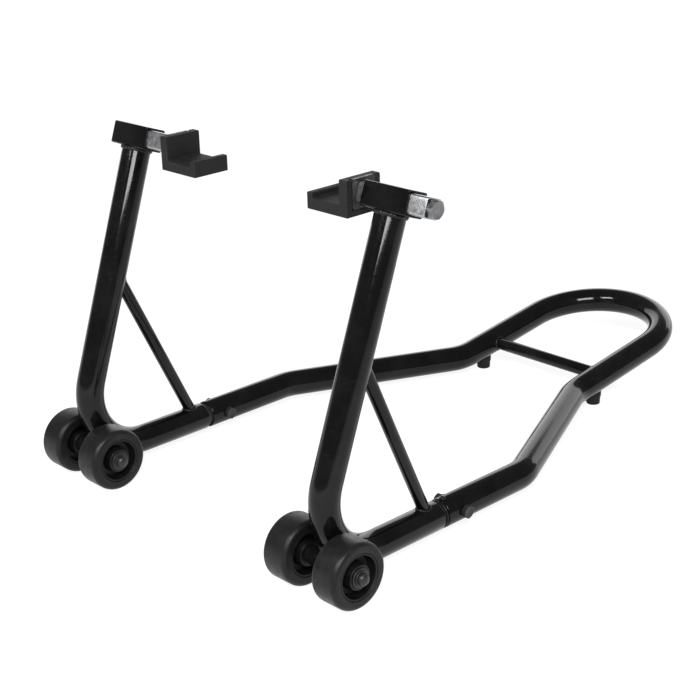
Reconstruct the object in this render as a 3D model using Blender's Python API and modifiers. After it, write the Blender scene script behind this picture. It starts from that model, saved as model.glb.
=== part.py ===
"""Paddock stand for the back of a motorcycle: bent tube frame, four wheels, two sliding and turning rests.

Metres, +Z up. The floor is Z = 0, the frame is symmetric about X = 0, and +Y runs from the wheels to
the grip. The origin is the middle of the footprint. Inside this file Y is counted from the wheel axles,
and one parent empty carries everything back to the origin.
"""

import math

import bmesh
import bpy
from mathutils import Vector

# Overall
AXLE_Y = -0.3648  # wheel axles, counted from the middle of the footprint
CLEARANCE = 0.0003  # gap between pieces that touch
RUNNING = 0.0001  # gap round a shaft that turns
SIDES = (("left", -1), ("right", 1))

# Frame tubes
TUBE_RADIUS = 0.0159
TUBE_WALL = 0.002
TUBE_BEVEL_RESOLUTION = 6
BRACE_RADIUS = 0.0068
CROSSBAR_RADIUS = 0.0077
LEG_X = 0.1933  # centre of the level part of each leg tube
RAIL_Z = 0.0245  # height of the level tubes' centres
LEAN = math.radians(19.8)  # uprights lean back over the rails
SPLAY = 0.0056  # each upright runs this much outwards on its way up
LEG_CORNER_Y = -0.0255  # where the upright's line meets the rail's line
LEG_BEND_RADIUS = 0.068
HEAD_DISTANCE = 0.3743  # from that corner up to the level of the head's centre
HEAD_FORWARD = 0.0015  # each head sits this far in front of its upright's centre line
BRACE_FOOT_Y = 0.147
BRACE_TOP_DISTANCE = 0.225  # from the corner up the upright's line

# Handle
JOINT_Y = 0.1609
JOINT_GAP = 0.0062
RAIL_BEND_Y = 0.2955
RAIL_BEND_RADIUS = 0.053
TAIL_X = 0.0912  # centre of each rail in the narrow tail
TAIL_Y = 0.511
TAIL_BEND_RADIUS = 0.068
TAIL_SLOPE = math.radians(7.94)
GRIP_Y = 0.6585  # where the round grip end starts
CROSSBAR_Y = 0.566
SPIGOT_RADIUS = TUBE_RADIUS - TUBE_WALL - 2 * CLEARANCE
SPIGOT_WALL = 0.002
SPIGOT_IN_LEG = 0.030
SPIGOT_IN_HANDLE = 0.042
HANDLE_BOLT_Y = 0.1872

# Feet
FOOT_Y = 0.551
FOOT_BOTTOM_RADIUS = 0.0084
FOOT_TOP_RADIUS = 0.0102
FOOT_SCREW_RADIUS = 0.0024
FOOT_SCREW_HEAD = 0.0046

# Wheels
WHEEL_RADIUS = 0.0349
WHEEL_WIDTH = 0.033
WHEEL_GAP = 0.0026  # between a wheel's face and the leg tube
HUB_RADIUS = 0.0241
AXLE_CAP_RADIUS = 0.0065
AXLE_CAP_HEIGHT = 0.0055
BUSH_RADIUS = 0.007
BUSH_FLANGE_RADIUS = 0.0103
SLEEVE_RADIUS = 0.0095
TURNED_STEPS = 24

# Heads
BOX_SIZE = 0.025
BOX_WALL = 0.002
BOX_LENGTH = 0.059
SLIDER_SIZE = 0.020
SLIDER_WALL = 0.0016
SLIDER_LENGTH = 0.090
SLIDER_END = {"left": 0.1284, "right": 0.160}  # the inner end's distance from the middle
PLUG_LENGTH = 0.012
CLAMP_BOLT_RADIUS = 0.005

# Rests
PAD_WIDTH = 0.057
PAD_LENGTH = 0.045
PAD_WALL = 0.011
PAD_LIP = 0.0077
PAD_TOP = 0.0150  # above the clamp bolt
PAD_BOTTOM = -0.0218
PAD_FLOOR = PAD_BOTTOM + 0.0115
PAD_LIP_TOP = PAD_BOTTOM + 0.0171
PLATE_SIZE = 0.030
PLATE_THICKNESS = 0.003

# Fasteners: a pair is the size across flats, then the height
BOLT_RADIUS = 0.004  # cross bolts and axles
SMALL_HEAD = (0.013, 0.0053)
SMALL_NUT = (0.013, 0.0065)
CLAMP_HEAD = (0.017, 0.0064)
CLAMP_NUT = (0.016, 0.0055)
WASHER_THICKNESS = 0.0015
WASHER_RADIUS = 0.0082

MATERIALS = {
    "black_paint": ((0.012, 0.012, 0.013), 0.22, 0.0),
    "black_rubber": ((0.022, 0.022, 0.023), 0.75, 0.0),
    "wheel_plastic": ((0.035, 0.035, 0.037), 0.55, 0.0),
    "black_plastic": ((0.015, 0.015, 0.016), 0.5, 0.0),
    "zinc_steel": ((0.55, 0.55, 0.55), 0.35, 1.0),
    "black_steel": ((0.02, 0.02, 0.021), 0.4, 0.0),
}


def clear_scene():
    for old in list(bpy.data.objects):
        bpy.data.objects.remove(old, do_unlink=True)


def make_collection(name):
    group = bpy.data.collections.new(name)
    bpy.context.scene.collection.children.link(group)
    return group


def make_materials():
    made = {}
    for name, (colour, roughness, metallic) in MATERIALS.items():
        material = bpy.data.materials.new(name)
        material.use_nodes = True
        shader = material.node_tree.nodes["Principled BSDF"]
        shader.inputs["Base Color"].default_value = (*colour, 1.0)
        shader.inputs["Roughness"].default_value = roughness
        shader.inputs["Metallic"].default_value = metallic
        made[name] = material
    return made


clear_scene()
STAND = make_collection("paddock_stand")
CUTTERS = make_collection("cutters")
FINISH = make_materials()


def make_empty(name, location, parent=None, rotation=(0.0, 0.0, 0.0)):
    empty = bpy.data.objects.new(name, None)
    empty.location = location
    empty.rotation_euler = rotation
    empty.parent = parent
    STAND.objects.link(empty)
    return empty


def place(name, data, finish, parent, location=(0.0, 0.0, 0.0), rotation=(0.0, 0.0, 0.0)):
    """Link a part under its parent; finish None makes it a hidden cutter."""
    piece = bpy.data.objects.new(name, data)
    piece.location = location
    piece.rotation_euler = rotation
    piece.parent = parent
    if finish is None:
        piece.hide_render = True
        piece.display_type = "WIRE"
        CUTTERS.objects.link(piece)
    else:
        data.materials.append(FINISH[finish])
        STAND.objects.link(piece)
    return piece


def smooth(mesh, angle=35.0):
    mesh.shade_smooth()
    mesh.set_sharp_from_angle(angle=math.radians(angle))
    return mesh


# Outlines and routes


def arc(centre, radius, start, end, steps):
    """Points along an arc; angles in degrees."""
    angles = [math.radians(start + (end - start) * i / steps) for i in range(steps + 1)]
    return [(centre[0] + radius * math.cos(a), centre[1] + radius * math.sin(a)) for a in angles]


def rounded_square(size, radius, steps=3):
    inner = size / 2 - radius
    outline = []
    for quarter, (sx, sy) in enumerate(((1, 1), (-1, 1), (-1, -1), (1, -1))):
        outline += arc((sx * inner, sy * inner), radius, 90 * quarter, 90 * quarter + 90, steps)
    return outline


def round_corner(before, corner, after, radius, step_angle=8.0):
    """Points of the arc that rounds one corner of a route in space."""
    back = (before - corner).normalized()
    ahead = (after - corner).normalized()
    half = back.angle(ahead) / 2
    centre = corner + (back + ahead).normalized() * (radius / math.sin(half))
    first = corner + back * (radius / math.tan(half)) - centre
    last = corner + ahead * (radius / math.tan(half)) - centre
    turn = first.angle(last)
    steps = max(2, round(math.degrees(turn) / step_angle))
    points = []
    for i in range(steps + 1):
        share = i / steps
        spread = first * math.sin((1 - share) * turn) + last * math.sin(share * turn)
        points.append(centre + spread / math.sin(turn))
    return points


def route(corners, radii):
    points = [corners[0]]
    for i, radius in enumerate(radii, start=1):
        points += round_corner(corners[i - 1], corners[i], corners[i + 1], radius)
    return points + [corners[-1]]


# Ways of making a shape


def bar_curve(name, points, radius, caps=True):
    """A round bar along the points, or its bare skin without caps."""
    data = bpy.data.curves.new(name, "CURVE")
    data.dimensions = "3D"
    data.bevel_depth = radius
    data.bevel_resolution = TUBE_BEVEL_RESOLUTION
    data.use_fill_caps = caps
    spline = data.splines.new("POLY")
    spline.points.add(len(points) - 1)
    for knot, point in zip(spline.points, points):
        knot.co = (*point, 1.0)
    return data


def to_mesh(piece):
    """Turn a curve object into a mesh object with the same name, place and finish."""
    bpy.context.view_layer.update()
    graph = bpy.context.evaluated_depsgraph_get()
    mesh = bpy.data.meshes.new_from_object(piece.evaluated_get(graph))
    work = bmesh.new()
    work.from_mesh(mesh)
    bmesh.ops.remove_doubles(work, verts=work.verts, dist=0.00001)
    bmesh.ops.recalc_face_normals(work, faces=work.faces)
    work.to_mesh(mesh)
    work.free()
    name = piece.name
    solid = bpy.data.objects.new(name + "_mesh", mesh)
    for group in piece.users_collection:
        group.objects.link(solid)
    solid.parent = piece.parent
    solid.matrix_world = piece.matrix_world
    solid.hide_render = piece.hide_render
    solid.display_type = piece.display_type
    bpy.data.objects.remove(piece, do_unlink=True)
    solid.name = name
    return solid


def make_tube(name, points, parent):
    """A bent tube with open ends, and the slightly fatter bar that others are cut back with."""
    skin = bar_curve(name, points, TUBE_RADIUS, caps=False)
    skin = place(name, skin, "black_paint", parent)
    tube = to_mesh(skin)
    wall = tube.modifiers.new("wall", "SOLIDIFY")
    wall.thickness = TUBE_WALL
    wall.offset = -1.0
    smooth(tube.data)
    around = bar_curve("around_" + name, points, TUBE_RADIUS + CLEARANCE)
    return tube, to_mesh(place("around_" + name, around, None, parent))


def outline_curve(name, loops, depth):
    """A flat shape with holes, given as closed loops, and as thick as depth."""
    data = bpy.data.curves.new(name, "CURVE")
    data.dimensions = "2D"
    data.fill_mode = "BOTH"
    data.extrude = depth / 2
    for loop in loops:
        spline = data.splines.new("POLY")
        spline.points.add(len(loop) - 1)
        for knot, (x, y) in zip(spline.points, loop):
            knot.co = (x, y, 0.0, 1.0)
        spline.use_cyclic_u = True
    return data


def cylinder(name, radius, length, steps=TURNED_STEPS, top_radius=None):
    """A cylinder or cone about local Z, centred on its origin."""
    mesh = bpy.data.meshes.new(name)
    work = bmesh.new()
    bmesh.ops.create_cone(
        work,
        cap_ends=True,
        segments=steps,
        radius1=radius,
        radius2=radius if top_radius is None else top_radius,
        depth=length,
    )
    work.to_mesh(mesh)
    work.free()
    return smooth(mesh)


def block(name, size):
    mesh = bpy.data.meshes.new(name)
    work = bmesh.new()
    bmesh.ops.create_cube(work, size=1.0)
    bmesh.ops.scale(work, vec=size, verts=work.verts)
    work.to_mesh(mesh)
    work.free()
    return mesh


def profile_mesh(name, profile, closed):
    """A profile of (radius, height) points, outer side running downwards, for a Screw modifier."""
    mesh = bpy.data.meshes.new(name)
    verts = [(radius, 0.0, height) for radius, height in profile]
    edges = [(i, i + 1) for i in range(len(verts) - 1)]
    if closed:
        edges.append((len(verts) - 1, 0))
    mesh.from_pydata(verts, edges, [])
    return mesh


def turn(piece, steps=TURNED_STEPS):
    spin = piece.modifiers.new("turned", "SCREW")
    spin.axis = "Z"
    spin.steps = steps
    spin.render_steps = steps
    spin.use_merge_vertices = True
    spin.merge_threshold = 0.00001
    spin.use_smooth_shade = True
    return piece


def cut(piece, *cutters):
    for cutter in cutters:
        step = piece.modifiers.new("cut", "BOOLEAN")
        step.operation = "DIFFERENCE"
        step.solver = "EXACT"
        step.object = cutter
    return piece


def join(piece, other):
    step = piece.modifiers.new("join", "BOOLEAN")
    step.operation = "UNION"
    step.solver = "EXACT"
    step.object = other
    return piece


ALONG_X = (0.0, math.radians(90), 0.0)  # local Z to world X
ALONG_NEGATIVE_X = (0.0, math.radians(-90), 0.0)
SECTION_ACROSS_X = (math.radians(90), 0.0, math.radians(90))  # outline in YZ, thickness along X
SECTION_ACROSS_Y = (math.radians(90), 0.0, 0.0)  # outline in XZ, thickness along Y
ALONG_Y = (math.radians(-90), 0.0, 0.0)  # local Z to world Y


def facing(sign):
    return ALONG_X if sign > 0 else ALONG_NEGATIVE_X


def hex_radius(across_flats):
    return across_flats / 2 / math.cos(math.radians(30))


def hex_bolt(name, finish, parent, head, shank_radius, shank_length, location, rotation):
    """Shank along local -Z from the head's underside, head on +Z; the origin is under the head."""
    flats, height = head
    shank = bpy.data.meshes.new(name)
    work = bmesh.new()
    bmesh.ops.create_cone(
        work, cap_ends=True, segments=16, radius1=shank_radius, radius2=shank_radius, depth=shank_length
    )
    bmesh.ops.translate(work, vec=(0.0, 0.0, -shank_length / 2 + 0.001), verts=work.verts)
    work.to_mesh(shank)
    work.free()
    piece = place(name, shank, finish, parent, location, rotation)
    top = cylinder(name + "_head_shape", hex_radius(flats), height, steps=6)
    top_piece = place(name + "_head_shape", top, None, piece, (0.0, 0.0, height / 2))
    return join(piece, top_piece)


def ring(name, finish, parent, inner, outer, thickness, location, rotation, steps=20):
    """A washer or short tube, centred on its place."""
    half = thickness / 2
    loop = [(inner, half), (outer, half), (outer, -half), (inner, -half)]
    return turn(place(name, profile_mesh(name, loop, True), finish, parent, location, rotation), steps)


def washer(name, parent, location):
    bore = BOLT_RADIUS + CLEARANCE
    ring(name, "black_steel", parent, bore, WASHER_RADIUS, WASHER_THICKNESS, location, ALONG_X)


def hex_nut(name, finish, parent, nut, bore, location, rotation):
    flats, height = nut
    data = outline_curve(
        name,
        [
            arc((0.0, 0.0), hex_radius(flats), 0, 300, 5),
            arc((0.0, 0.0), bore, 0, 337.5, 15),
        ],
        height,
    )
    return place(name, data, finish, parent, location, rotation)


# Points that several pieces share


def lean_vector():
    return Vector((0.0, math.sin(LEAN), math.cos(LEAN)))


def upright_point(sign, distance):
    """A point on the upright's centre line, this far above the leg's corner."""
    spread = SPLAY * distance / HEAD_DISTANCE
    return Vector((sign * (LEG_X + spread), LEG_CORNER_Y, RAIL_Z)) + lean_vector() * distance


def head_centre(sign):
    forward = Vector((0.0, -math.cos(LEAN), math.sin(LEAN)))
    return upright_point(sign, HEAD_DISTANCE) + forward * HEAD_FORWARD


def tail_height(y):
    return RAIL_Z + (y - TAIL_Y) * math.tan(TAIL_SLOPE)


def leg_route(sign):
    top = HEAD_DISTANCE - BOX_SIZE / 2 - CLEARANCE
    corner = upright_point(sign, 0.0)
    end = Vector((sign * LEG_X, JOINT_Y - JOINT_GAP / 2, RAIL_Z))
    return route([upright_point(sign, top), corner, end], [LEG_BEND_RADIUS])


def rail_route(sign):
    start = Vector((sign * LEG_X, JOINT_Y + JOINT_GAP / 2, RAIL_Z))
    first = Vector((sign * LEG_X, RAIL_BEND_Y, RAIL_Z))
    second = Vector((sign * TAIL_X, TAIL_Y, RAIL_Z))
    end = Vector((sign * TAIL_X, GRIP_Y, tail_height(GRIP_Y)))
    return route([start, first, second, end], [RAIL_BEND_RADIUS, TAIL_BEND_RADIUS])


def handle_route():
    grip = []
    steps = 20
    for i in range(1, steps):
        angle = math.pi * i / steps
        reach = TAIL_X * math.sin(angle)
        grip.append(
            Vector(
                (
                    TAIL_X * math.cos(angle),
                    GRIP_Y + reach * math.cos(TAIL_SLOPE),
                    tail_height(GRIP_Y) + reach * math.sin(TAIL_SLOPE),
                )
            )
        )
    return rail_route(1) + grip + rail_route(-1)[::-1]


# The pieces


def make_frame(origin):
    """Leg tubes, handle and the stays and sleeves that are fitted to them."""
    handle, around_handle = make_tube("handle_tube", handle_route(), origin)
    crossbar = cylinder("crossbar", CROSSBAR_RADIUS, 2 * TAIL_X, steps=16)
    at = (0.0, CROSSBAR_Y, tail_height(CROSSBAR_Y))
    cut(place("crossbar", crossbar, "black_paint", origin, at, ALONG_X), around_handle)

    for side, sign in SIDES:
        make_leg(side, sign, origin)
        make_joint(side, sign, origin, handle)
        make_foot(side, sign, origin, handle, around_handle)


def make_leg(side, sign, origin):
    around = make_tube("leg_tube_" + side, leg_route(sign), origin)[1]
    foot = Vector((sign * LEG_X, BRACE_FOOT_Y, RAIL_Z))
    top = upright_point(sign, BRACE_TOP_DISTANCE)
    run = top - foot
    brace = cylinder("brace_" + side, BRACE_RADIUS, run.length, steps=16)
    brace = place("brace_" + side, brace, "black_paint", origin, (foot + top) / 2)
    brace.rotation_euler = run.to_track_quat("Z", "Y").to_euler()
    cut(brace, around)

    length = 2 * (TUBE_RADIUS + WHEEL_GAP - 2 * CLEARANCE)
    at = (sign * LEG_X, 0.0, WHEEL_RADIUS)
    bore = BOLT_RADIUS + CLEARANCE
    cut(ring("axle_sleeve_" + side, "black_paint", origin, bore, SLEEVE_RADIUS, length, at, ALONG_X), around)


def make_joint(side, sign, origin, handle):
    """Spigot inside the butt joint and the cross bolt through handle and spigot."""
    length = SPIGOT_IN_LEG + SPIGOT_IN_HANDLE
    middle = JOINT_Y + (SPIGOT_IN_HANDLE - SPIGOT_IN_LEG) / 2
    inner = SPIGOT_RADIUS - SPIGOT_WALL
    at = (sign * LEG_X, middle, RAIL_Z)
    spigot = ring("spigot_" + side, "black_steel", origin, inner, SPIGOT_RADIUS, length, at, ALONG_Y)

    at = Vector((sign * LEG_X, HANDLE_BOLT_Y, RAIL_Z))
    drill = cylinder("bolt_hole_" + side, BOLT_RADIUS + CLEARANCE, 4 * TUBE_RADIUS, steps=16)
    drill = place("bolt_hole_" + side, drill, None, origin, at, ALONG_X)
    cut(spigot, drill)
    cut(handle, drill)

    seat = TUBE_RADIUS + CLEARANCE
    nut_seat = seat + WASHER_THICKNESS + CLEARANCE
    shank = seat + nut_seat + SMALL_NUT[1] + 0.002
    out = Vector((1.0, 0.0, 0.0))  # both heads face the same way
    bolt_at = at + out * seat
    hex_bolt("handle_bolt_" + side, "black_steel", origin, SMALL_HEAD, BOLT_RADIUS, shank, bolt_at, ALONG_X)
    washer("handle_washer_" + side, origin, at - out * (seat + WASHER_THICKNESS / 2))
    nut_at = at - out * (nut_seat + SMALL_NUT[1] / 2)
    bore = BOLT_RADIUS + CLEARANCE
    hex_nut("handle_nut_" + side, "black_steel", origin, SMALL_NUT, bore, nut_at, ALONG_X)


def make_foot(side, sign, origin, handle, around_handle):
    """Tapered rubber foot under the tail's start, with its screw up into the tube."""
    height = tail_height(FOOT_Y) - TUBE_RADIUS / 2
    at = Vector((sign * TAIL_X, FOOT_Y, 0.0))
    foot = cylinder("foot_" + side, FOOT_BOTTOM_RADIUS, height, steps=20, top_radius=FOOT_TOP_RADIUS)
    foot = place("foot_" + side, foot, "black_rubber", origin, at + Vector((0.0, 0.0, height / 2)))
    hole = cylinder("foot_hole_" + side, FOOT_SCREW_RADIUS + CLEARANCE, 0.060, steps=12)
    hole = place("foot_hole_" + side, hole, None, origin, at + Vector((0.0, 0.0, -0.006)))
    recess = cylinder("foot_recess_" + side, FOOT_SCREW_HEAD + 2 * CLEARANCE, 0.014, steps=16)
    recess = place("foot_recess_" + side, recess, None, origin, at)
    cut(foot, around_handle, hole, recess)
    cut(handle, hole)

    head_top = 0.007 - CLEARANCE
    head_bottom = head_top - 0.003
    tip = tail_height(FOOT_Y) - TUBE_RADIUS + 0.006
    profile = [
        (0.0, tip),
        (FOOT_SCREW_RADIUS, tip - 0.002),
        (FOOT_SCREW_RADIUS, head_top),
        (FOOT_SCREW_HEAD, head_top),
        (FOOT_SCREW_HEAD, head_bottom),
        (0.0, head_bottom),
    ]
    screw = profile_mesh("foot_screw_" + side, profile, False)
    turn(place("foot_screw_" + side, screw, "zinc_steel", origin, at), 12)


def wheel_profiles():
    """Closed (radius, height) loops of the tyre and the hub core about the axle."""
    half = WHEEL_WIDTH / 2
    shoulder = 0.005
    inner = HUB_RADIUS + CLEARANCE
    crown = (WHEEL_RADIUS - shoulder, half - shoulder)
    upper = arc(crown, shoulder, 90, 0, 3)
    lower = [(radius, -height) for radius, height in reversed(upper)]
    tyre = [(inner, half - 0.0008), (inner + 0.0015, half)] + upper + lower
    tyre += [(inner + 0.0015, -half), (inner, -half + 0.0008)]
    web = 0.0045
    upper_hub = [
        (0.0132, half),
        (0.0140, web),
        (0.0204, web),
        (0.0220, half - 0.0006),
        (HUB_RADIUS, half - 0.0006),
    ]
    lower_hub = [(radius, -height) for radius, height in reversed(upper_hub)]
    bore = BUSH_RADIUS + CLEARANCE
    hub = [(bore, half)] + upper_hub + lower_hub + [(bore, -half)]
    return tyre, hub


def make_wheels(origin):
    tyre, hub = wheel_profiles()
    half = WHEEL_WIDTH / 2
    offset = TUBE_RADIUS + WHEEL_GAP + half
    bore = BOLT_RADIUS + RUNNING
    flange_in = half + CLEARANCE
    flange_out = flange_in + 0.0012
    bush = [
        (bore, flange_out),
        (BUSH_FLANGE_RADIUS, flange_out),
        (BUSH_FLANGE_RADIUS, flange_in),
        (BUSH_RADIUS, flange_in),
        (BUSH_RADIUS, -half),
        (bore, -half),
    ]
    for side, sign in SIDES:
        for row, outward in (("outer", sign), ("inner", -sign)):
            tag = side + "_" + row
            at = (sign * LEG_X + outward * offset, 0.0, WHEEL_RADIUS)
            axis = make_empty("wheel_axis_" + tag, at, origin)
            for label, loop, finish in (
                ("tyre_", tyre, "black_rubber"),
                ("hub_", hub, "wheel_plastic"),
                ("bush_", bush, "black_steel"),
            ):
                mesh = profile_mesh(label + tag, loop, True)
                turn(place(label + tag, mesh, finish, axis, rotation=facing(outward)))
            washer_x = outward * (flange_out + CLEARANCE + WASHER_THICKNESS / 2)
            washer("axle_washer_" + tag, origin, (at[0] + washer_x, 0.0, WHEEL_RADIUS))
        seat = offset + flange_out + 2 * CLEARANCE + WASHER_THICKNESS
        make_axle(side, sign, origin, seat)


def make_axle(side, sign, origin, seat):
    """Plain axle through both wheels and the sleeve, with a round cap pressed on each end."""
    depth = 0.6 * AXLE_CAP_HEIGHT
    middle = Vector((sign * LEG_X, 0.0, WHEEL_RADIUS))
    axle = cylinder("axle_" + side, BOLT_RADIUS, 2 * (seat + depth - CLEARANCE), steps=16)
    place("axle_" + side, axle, "black_steel", origin, middle, ALONG_X)
    bore = BOLT_RADIUS + CLEARANCE
    flat = AXLE_CAP_RADIUS - 0.004
    profile = [(0.0, AXLE_CAP_HEIGHT), (flat, AXLE_CAP_HEIGHT - 0.0003)]
    profile += arc((flat, AXLE_CAP_HEIGHT - 0.0043), 0.004, 60, 0, 2)
    profile += [(AXLE_CAP_RADIUS, 0.0), (bore, 0.0), (bore, depth), (0.0, depth)]
    for row, outward in (("outer", sign), ("inner", -sign)):
        tag = side + "_" + row
        at = middle + Vector((outward * (seat + CLEARANCE), 0.0, 0.0))
        cap = profile_mesh("axle_cap_" + tag, profile, False)
        turn(place("axle_cap_" + tag, cap, "black_steel", origin, at, facing(outward)), 20)


def make_head(side, sign, origin):
    """Square tube across the top of the upright, with the slider in it."""
    tilt = (-LEAN, 0.0, 0.0)
    head = make_empty("head_" + side, head_centre(sign), origin, tilt)
    bore = BOX_SIZE - 2 * BOX_WALL
    loops = [rounded_square(BOX_SIZE, 0.0018), rounded_square(bore, 0.001)]
    box = outline_curve("head_box_" + side, loops, BOX_LENGTH)
    place("head_box_" + side, box, "black_paint", head, rotation=SECTION_ACROSS_X)

    slide_at = Vector((sign * SLIDER_END[side], head_centre(sign).y, head_centre(sign).z))
    slide = make_empty("slide_" + side, slide_at, origin, tilt)
    hollow = SLIDER_SIZE - 2 * SLIDER_WALL
    loops = [rounded_square(SLIDER_SIZE, 0.0028), rounded_square(hollow, 0.0014)]
    tube = outline_curve("slider_" + side, loops, SLIDER_LENGTH)
    tube_at = (sign * SLIDER_LENGTH / 2, 0.0, 0.0)
    place("slider_" + side, tube, "zinc_steel", slide, tube_at, SECTION_ACROSS_X)

    bolt_hole = CLAMP_BOLT_RADIUS + CLEARANCE
    plug_loops = [rounded_square(hollow - 2 * CLEARANCE, 0.0014), arc((0.0, 0.0), bolt_hole, 0, 337.5, 15)]
    plug = outline_curve("slider_plug_" + side, plug_loops, PLUG_LENGTH)
    plug_x = sign * (SLIDER_LENGTH - PLUG_LENGTH / 2)
    place("slider_plug_" + side, plug, "black_plastic", slide, (plug_x, 0.0, 0.0), SECTION_ACROSS_X)
    seat = SLIDER_LENGTH + CLEARANCE
    shank = seat + PLATE_THICKNESS + CLAMP_NUT[1] + 3 * CLEARANCE
    at = (sign * seat, 0.0, 0.0)
    name = "clamp_bolt_" + side
    hex_bolt(name, "zinc_steel", slide, CLAMP_HEAD, CLAMP_BOLT_RADIUS, shank, at, facing(sign))
    make_rest(side, sign, origin, slide_at)


def make_rest(side, sign, origin, slide_at):
    """J-section rubber rest on a steel plate and nut, turning about the clamp bolt."""
    inward = -sign
    hinge = make_empty("rest_axis_" + side, slide_at, origin)
    start = CLEARANCE  # gap to the slider's end
    outline = [
        (start, PAD_BOTTOM),
        (start, PAD_TOP),
        (PAD_WALL, PAD_TOP),
        (PAD_WALL, PAD_FLOOR),
        (PAD_WIDTH - PAD_LIP, PAD_FLOOR),
        (PAD_WIDTH - PAD_LIP, PAD_LIP_TOP),
        (PAD_WIDTH, PAD_LIP_TOP),
        (PAD_WIDTH, PAD_BOTTOM),
    ]
    outline = [(inward * x, z) for x, z in outline]
    pad = outline_curve("pad_" + side, [outline], PAD_LENGTH)
    pad = to_mesh(place("pad_" + side, pad, "black_rubber", hinge, rotation=SECTION_ACROSS_Y))

    pocket_depth = PLATE_THICKNESS + 2 * CLEARANCE
    pocket_size = PLATE_SIZE + 2 * CLEARANCE
    pocket = block("plate_pocket_" + side, (2 * pocket_depth, pocket_size, pocket_size))
    pocket = place("plate_pocket_" + side, pocket, None, hinge)
    nut_depth = pocket_depth + CLAMP_NUT[1] + 3 * CLEARANCE
    nut_room = hex_radius(CLAMP_NUT[0]) + CLEARANCE
    nut_pocket = cylinder("nut_pocket_" + side, nut_room, 2 * nut_depth, steps=16)
    nut_pocket = place("nut_pocket_" + side, nut_pocket, None, hinge, rotation=ALONG_X)
    cut(pad, pocket, nut_pocket)

    bolt_hole = CLAMP_BOLT_RADIUS + CLEARANCE
    loops = [rounded_square(PLATE_SIZE, 0.002, 1), arc((0.0, 0.0), bolt_hole, 0, 337.5, 15)]
    plate = outline_curve("pad_plate_" + side, loops, PLATE_THICKNESS)
    plate_at = (inward * (start + PLATE_THICKNESS / 2), 0.0, 0.0)
    place("pad_plate_" + side, plate, "black_steel", hinge, plate_at, SECTION_ACROSS_X)
    nut_at = (inward * (start + PLATE_THICKNESS + CLEARANCE + CLAMP_NUT[1] / 2), 0.0, 0.0)
    hex_nut("pad_nut_" + side, "zinc_steel", hinge, CLAMP_NUT, bolt_hole, nut_at, ALONG_X)


stand_origin = make_empty("stand_origin", (0.0, AXLE_Y, 0.0))
make_frame(stand_origin)
make_wheels(stand_origin)
for side_name, side_sign in SIDES:
    make_head(side_name, side_sign, stand_origin)
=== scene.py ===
"""Looks of the paddock stand: finer tubes, wheels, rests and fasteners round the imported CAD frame, procedural
materials, a pale studio and the camera. Metres, +Z up, in the CAD's own frame."""

import math

import bmesh
import bpy
from mathutils import Matrix, Vector, noise


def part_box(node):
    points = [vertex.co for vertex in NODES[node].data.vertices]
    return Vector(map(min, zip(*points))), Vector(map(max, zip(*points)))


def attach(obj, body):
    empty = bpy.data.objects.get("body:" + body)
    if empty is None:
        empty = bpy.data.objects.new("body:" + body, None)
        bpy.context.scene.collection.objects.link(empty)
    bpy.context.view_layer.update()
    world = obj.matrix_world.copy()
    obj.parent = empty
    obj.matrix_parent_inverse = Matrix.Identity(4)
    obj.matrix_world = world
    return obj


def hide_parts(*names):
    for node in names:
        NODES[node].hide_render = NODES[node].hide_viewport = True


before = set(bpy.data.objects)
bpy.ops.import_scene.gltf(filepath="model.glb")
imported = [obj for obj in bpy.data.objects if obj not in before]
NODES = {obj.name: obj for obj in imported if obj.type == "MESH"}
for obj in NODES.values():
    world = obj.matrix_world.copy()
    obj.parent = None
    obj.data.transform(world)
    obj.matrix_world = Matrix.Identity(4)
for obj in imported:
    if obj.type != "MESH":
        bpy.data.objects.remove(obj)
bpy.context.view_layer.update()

X_AXIS = Vector((1.0, 0.0, 0.0))
Y_AXIS = Vector((0.0, 1.0, 0.0))
Z_AXIS = Vector((0.0, 0.0, 1.0))
SIDES = (("left", -1), ("right", 1))


def middle_of(node):
    low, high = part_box(node)
    return (low + high) / 2


# Driving dimensions of the CAD frame
TUBE_RADIUS = 0.0159
TUBE_WALL = 0.002
BRACE_RADIUS = 0.0068
CROSSBAR_RADIUS = 0.0077
SLEEVE_RADIUS = 0.0095
BOLT_RADIUS = 0.004
LEAN = math.radians(19.8)
LEG_BEND_RADIUS = 0.068
RAIL_BEND_RADIUS = 0.053
TAIL_BEND_RADIUS = 0.068
TAIL_SLOPE = math.radians(7.94)
BOX_SIZE = 0.025
BOX_WALL = 0.002
SLIDER_SIZE = 0.020
SLIDER_WALL = 0.0016
RAIL_BEND_BEHIND_AXLE = 0.2955
TAIL_BEHIND_AXLE = 0.511
GRIP_BEHIND_AXLE = 0.6585
BRACE_FOOT_BEHIND_AXLE = 0.147
BRACE_TOP_DISTANCE = 0.225
UPRIGHT_LENGTH = 0.3743
HEAD_FORWARD = 0.0015
M8_FLATS = 0.013
M8_NUT_HEIGHT = 0.0065
M10_FLATS = 0.017
M10_RADIUS = 0.005
HUB_RADIUS = 0.0241
HUB_WEB = 0.0045  # half the thickness of the web between the hub's rim and its middle
BUSH_RADIUS = 0.0070
FLANGE_RADIUS = 0.0103
FLANGE_THICKNESS = 0.0012
CAP_SKIRT = 0.0013
FOOT_BOTTOM_RADIUS = 0.0084
FOOT_WAIST = 0.0098  # height at which the foot starts to narrow
FOOT_SINK = 0.0045  # how far the foot reaches up past the rail's underside
FOOT_RECESS_RADIUS = 0.0052
FOOT_RECESS_DEPTH = 0.007
FOOT_BORE = 0.0028
PAD_WALL = 0.011
PAD_LIP = 0.0077
PAD_FLOOR = 0.0115
PAD_LIP_HEIGHT = 0.0171
GAP = 0.0003  # between pieces that touch on the real stand
SLEEVE_PLAY = 0.0004
WASHER_PLAY = 0.0003
THREAD_PLAY = 0.0001

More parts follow.
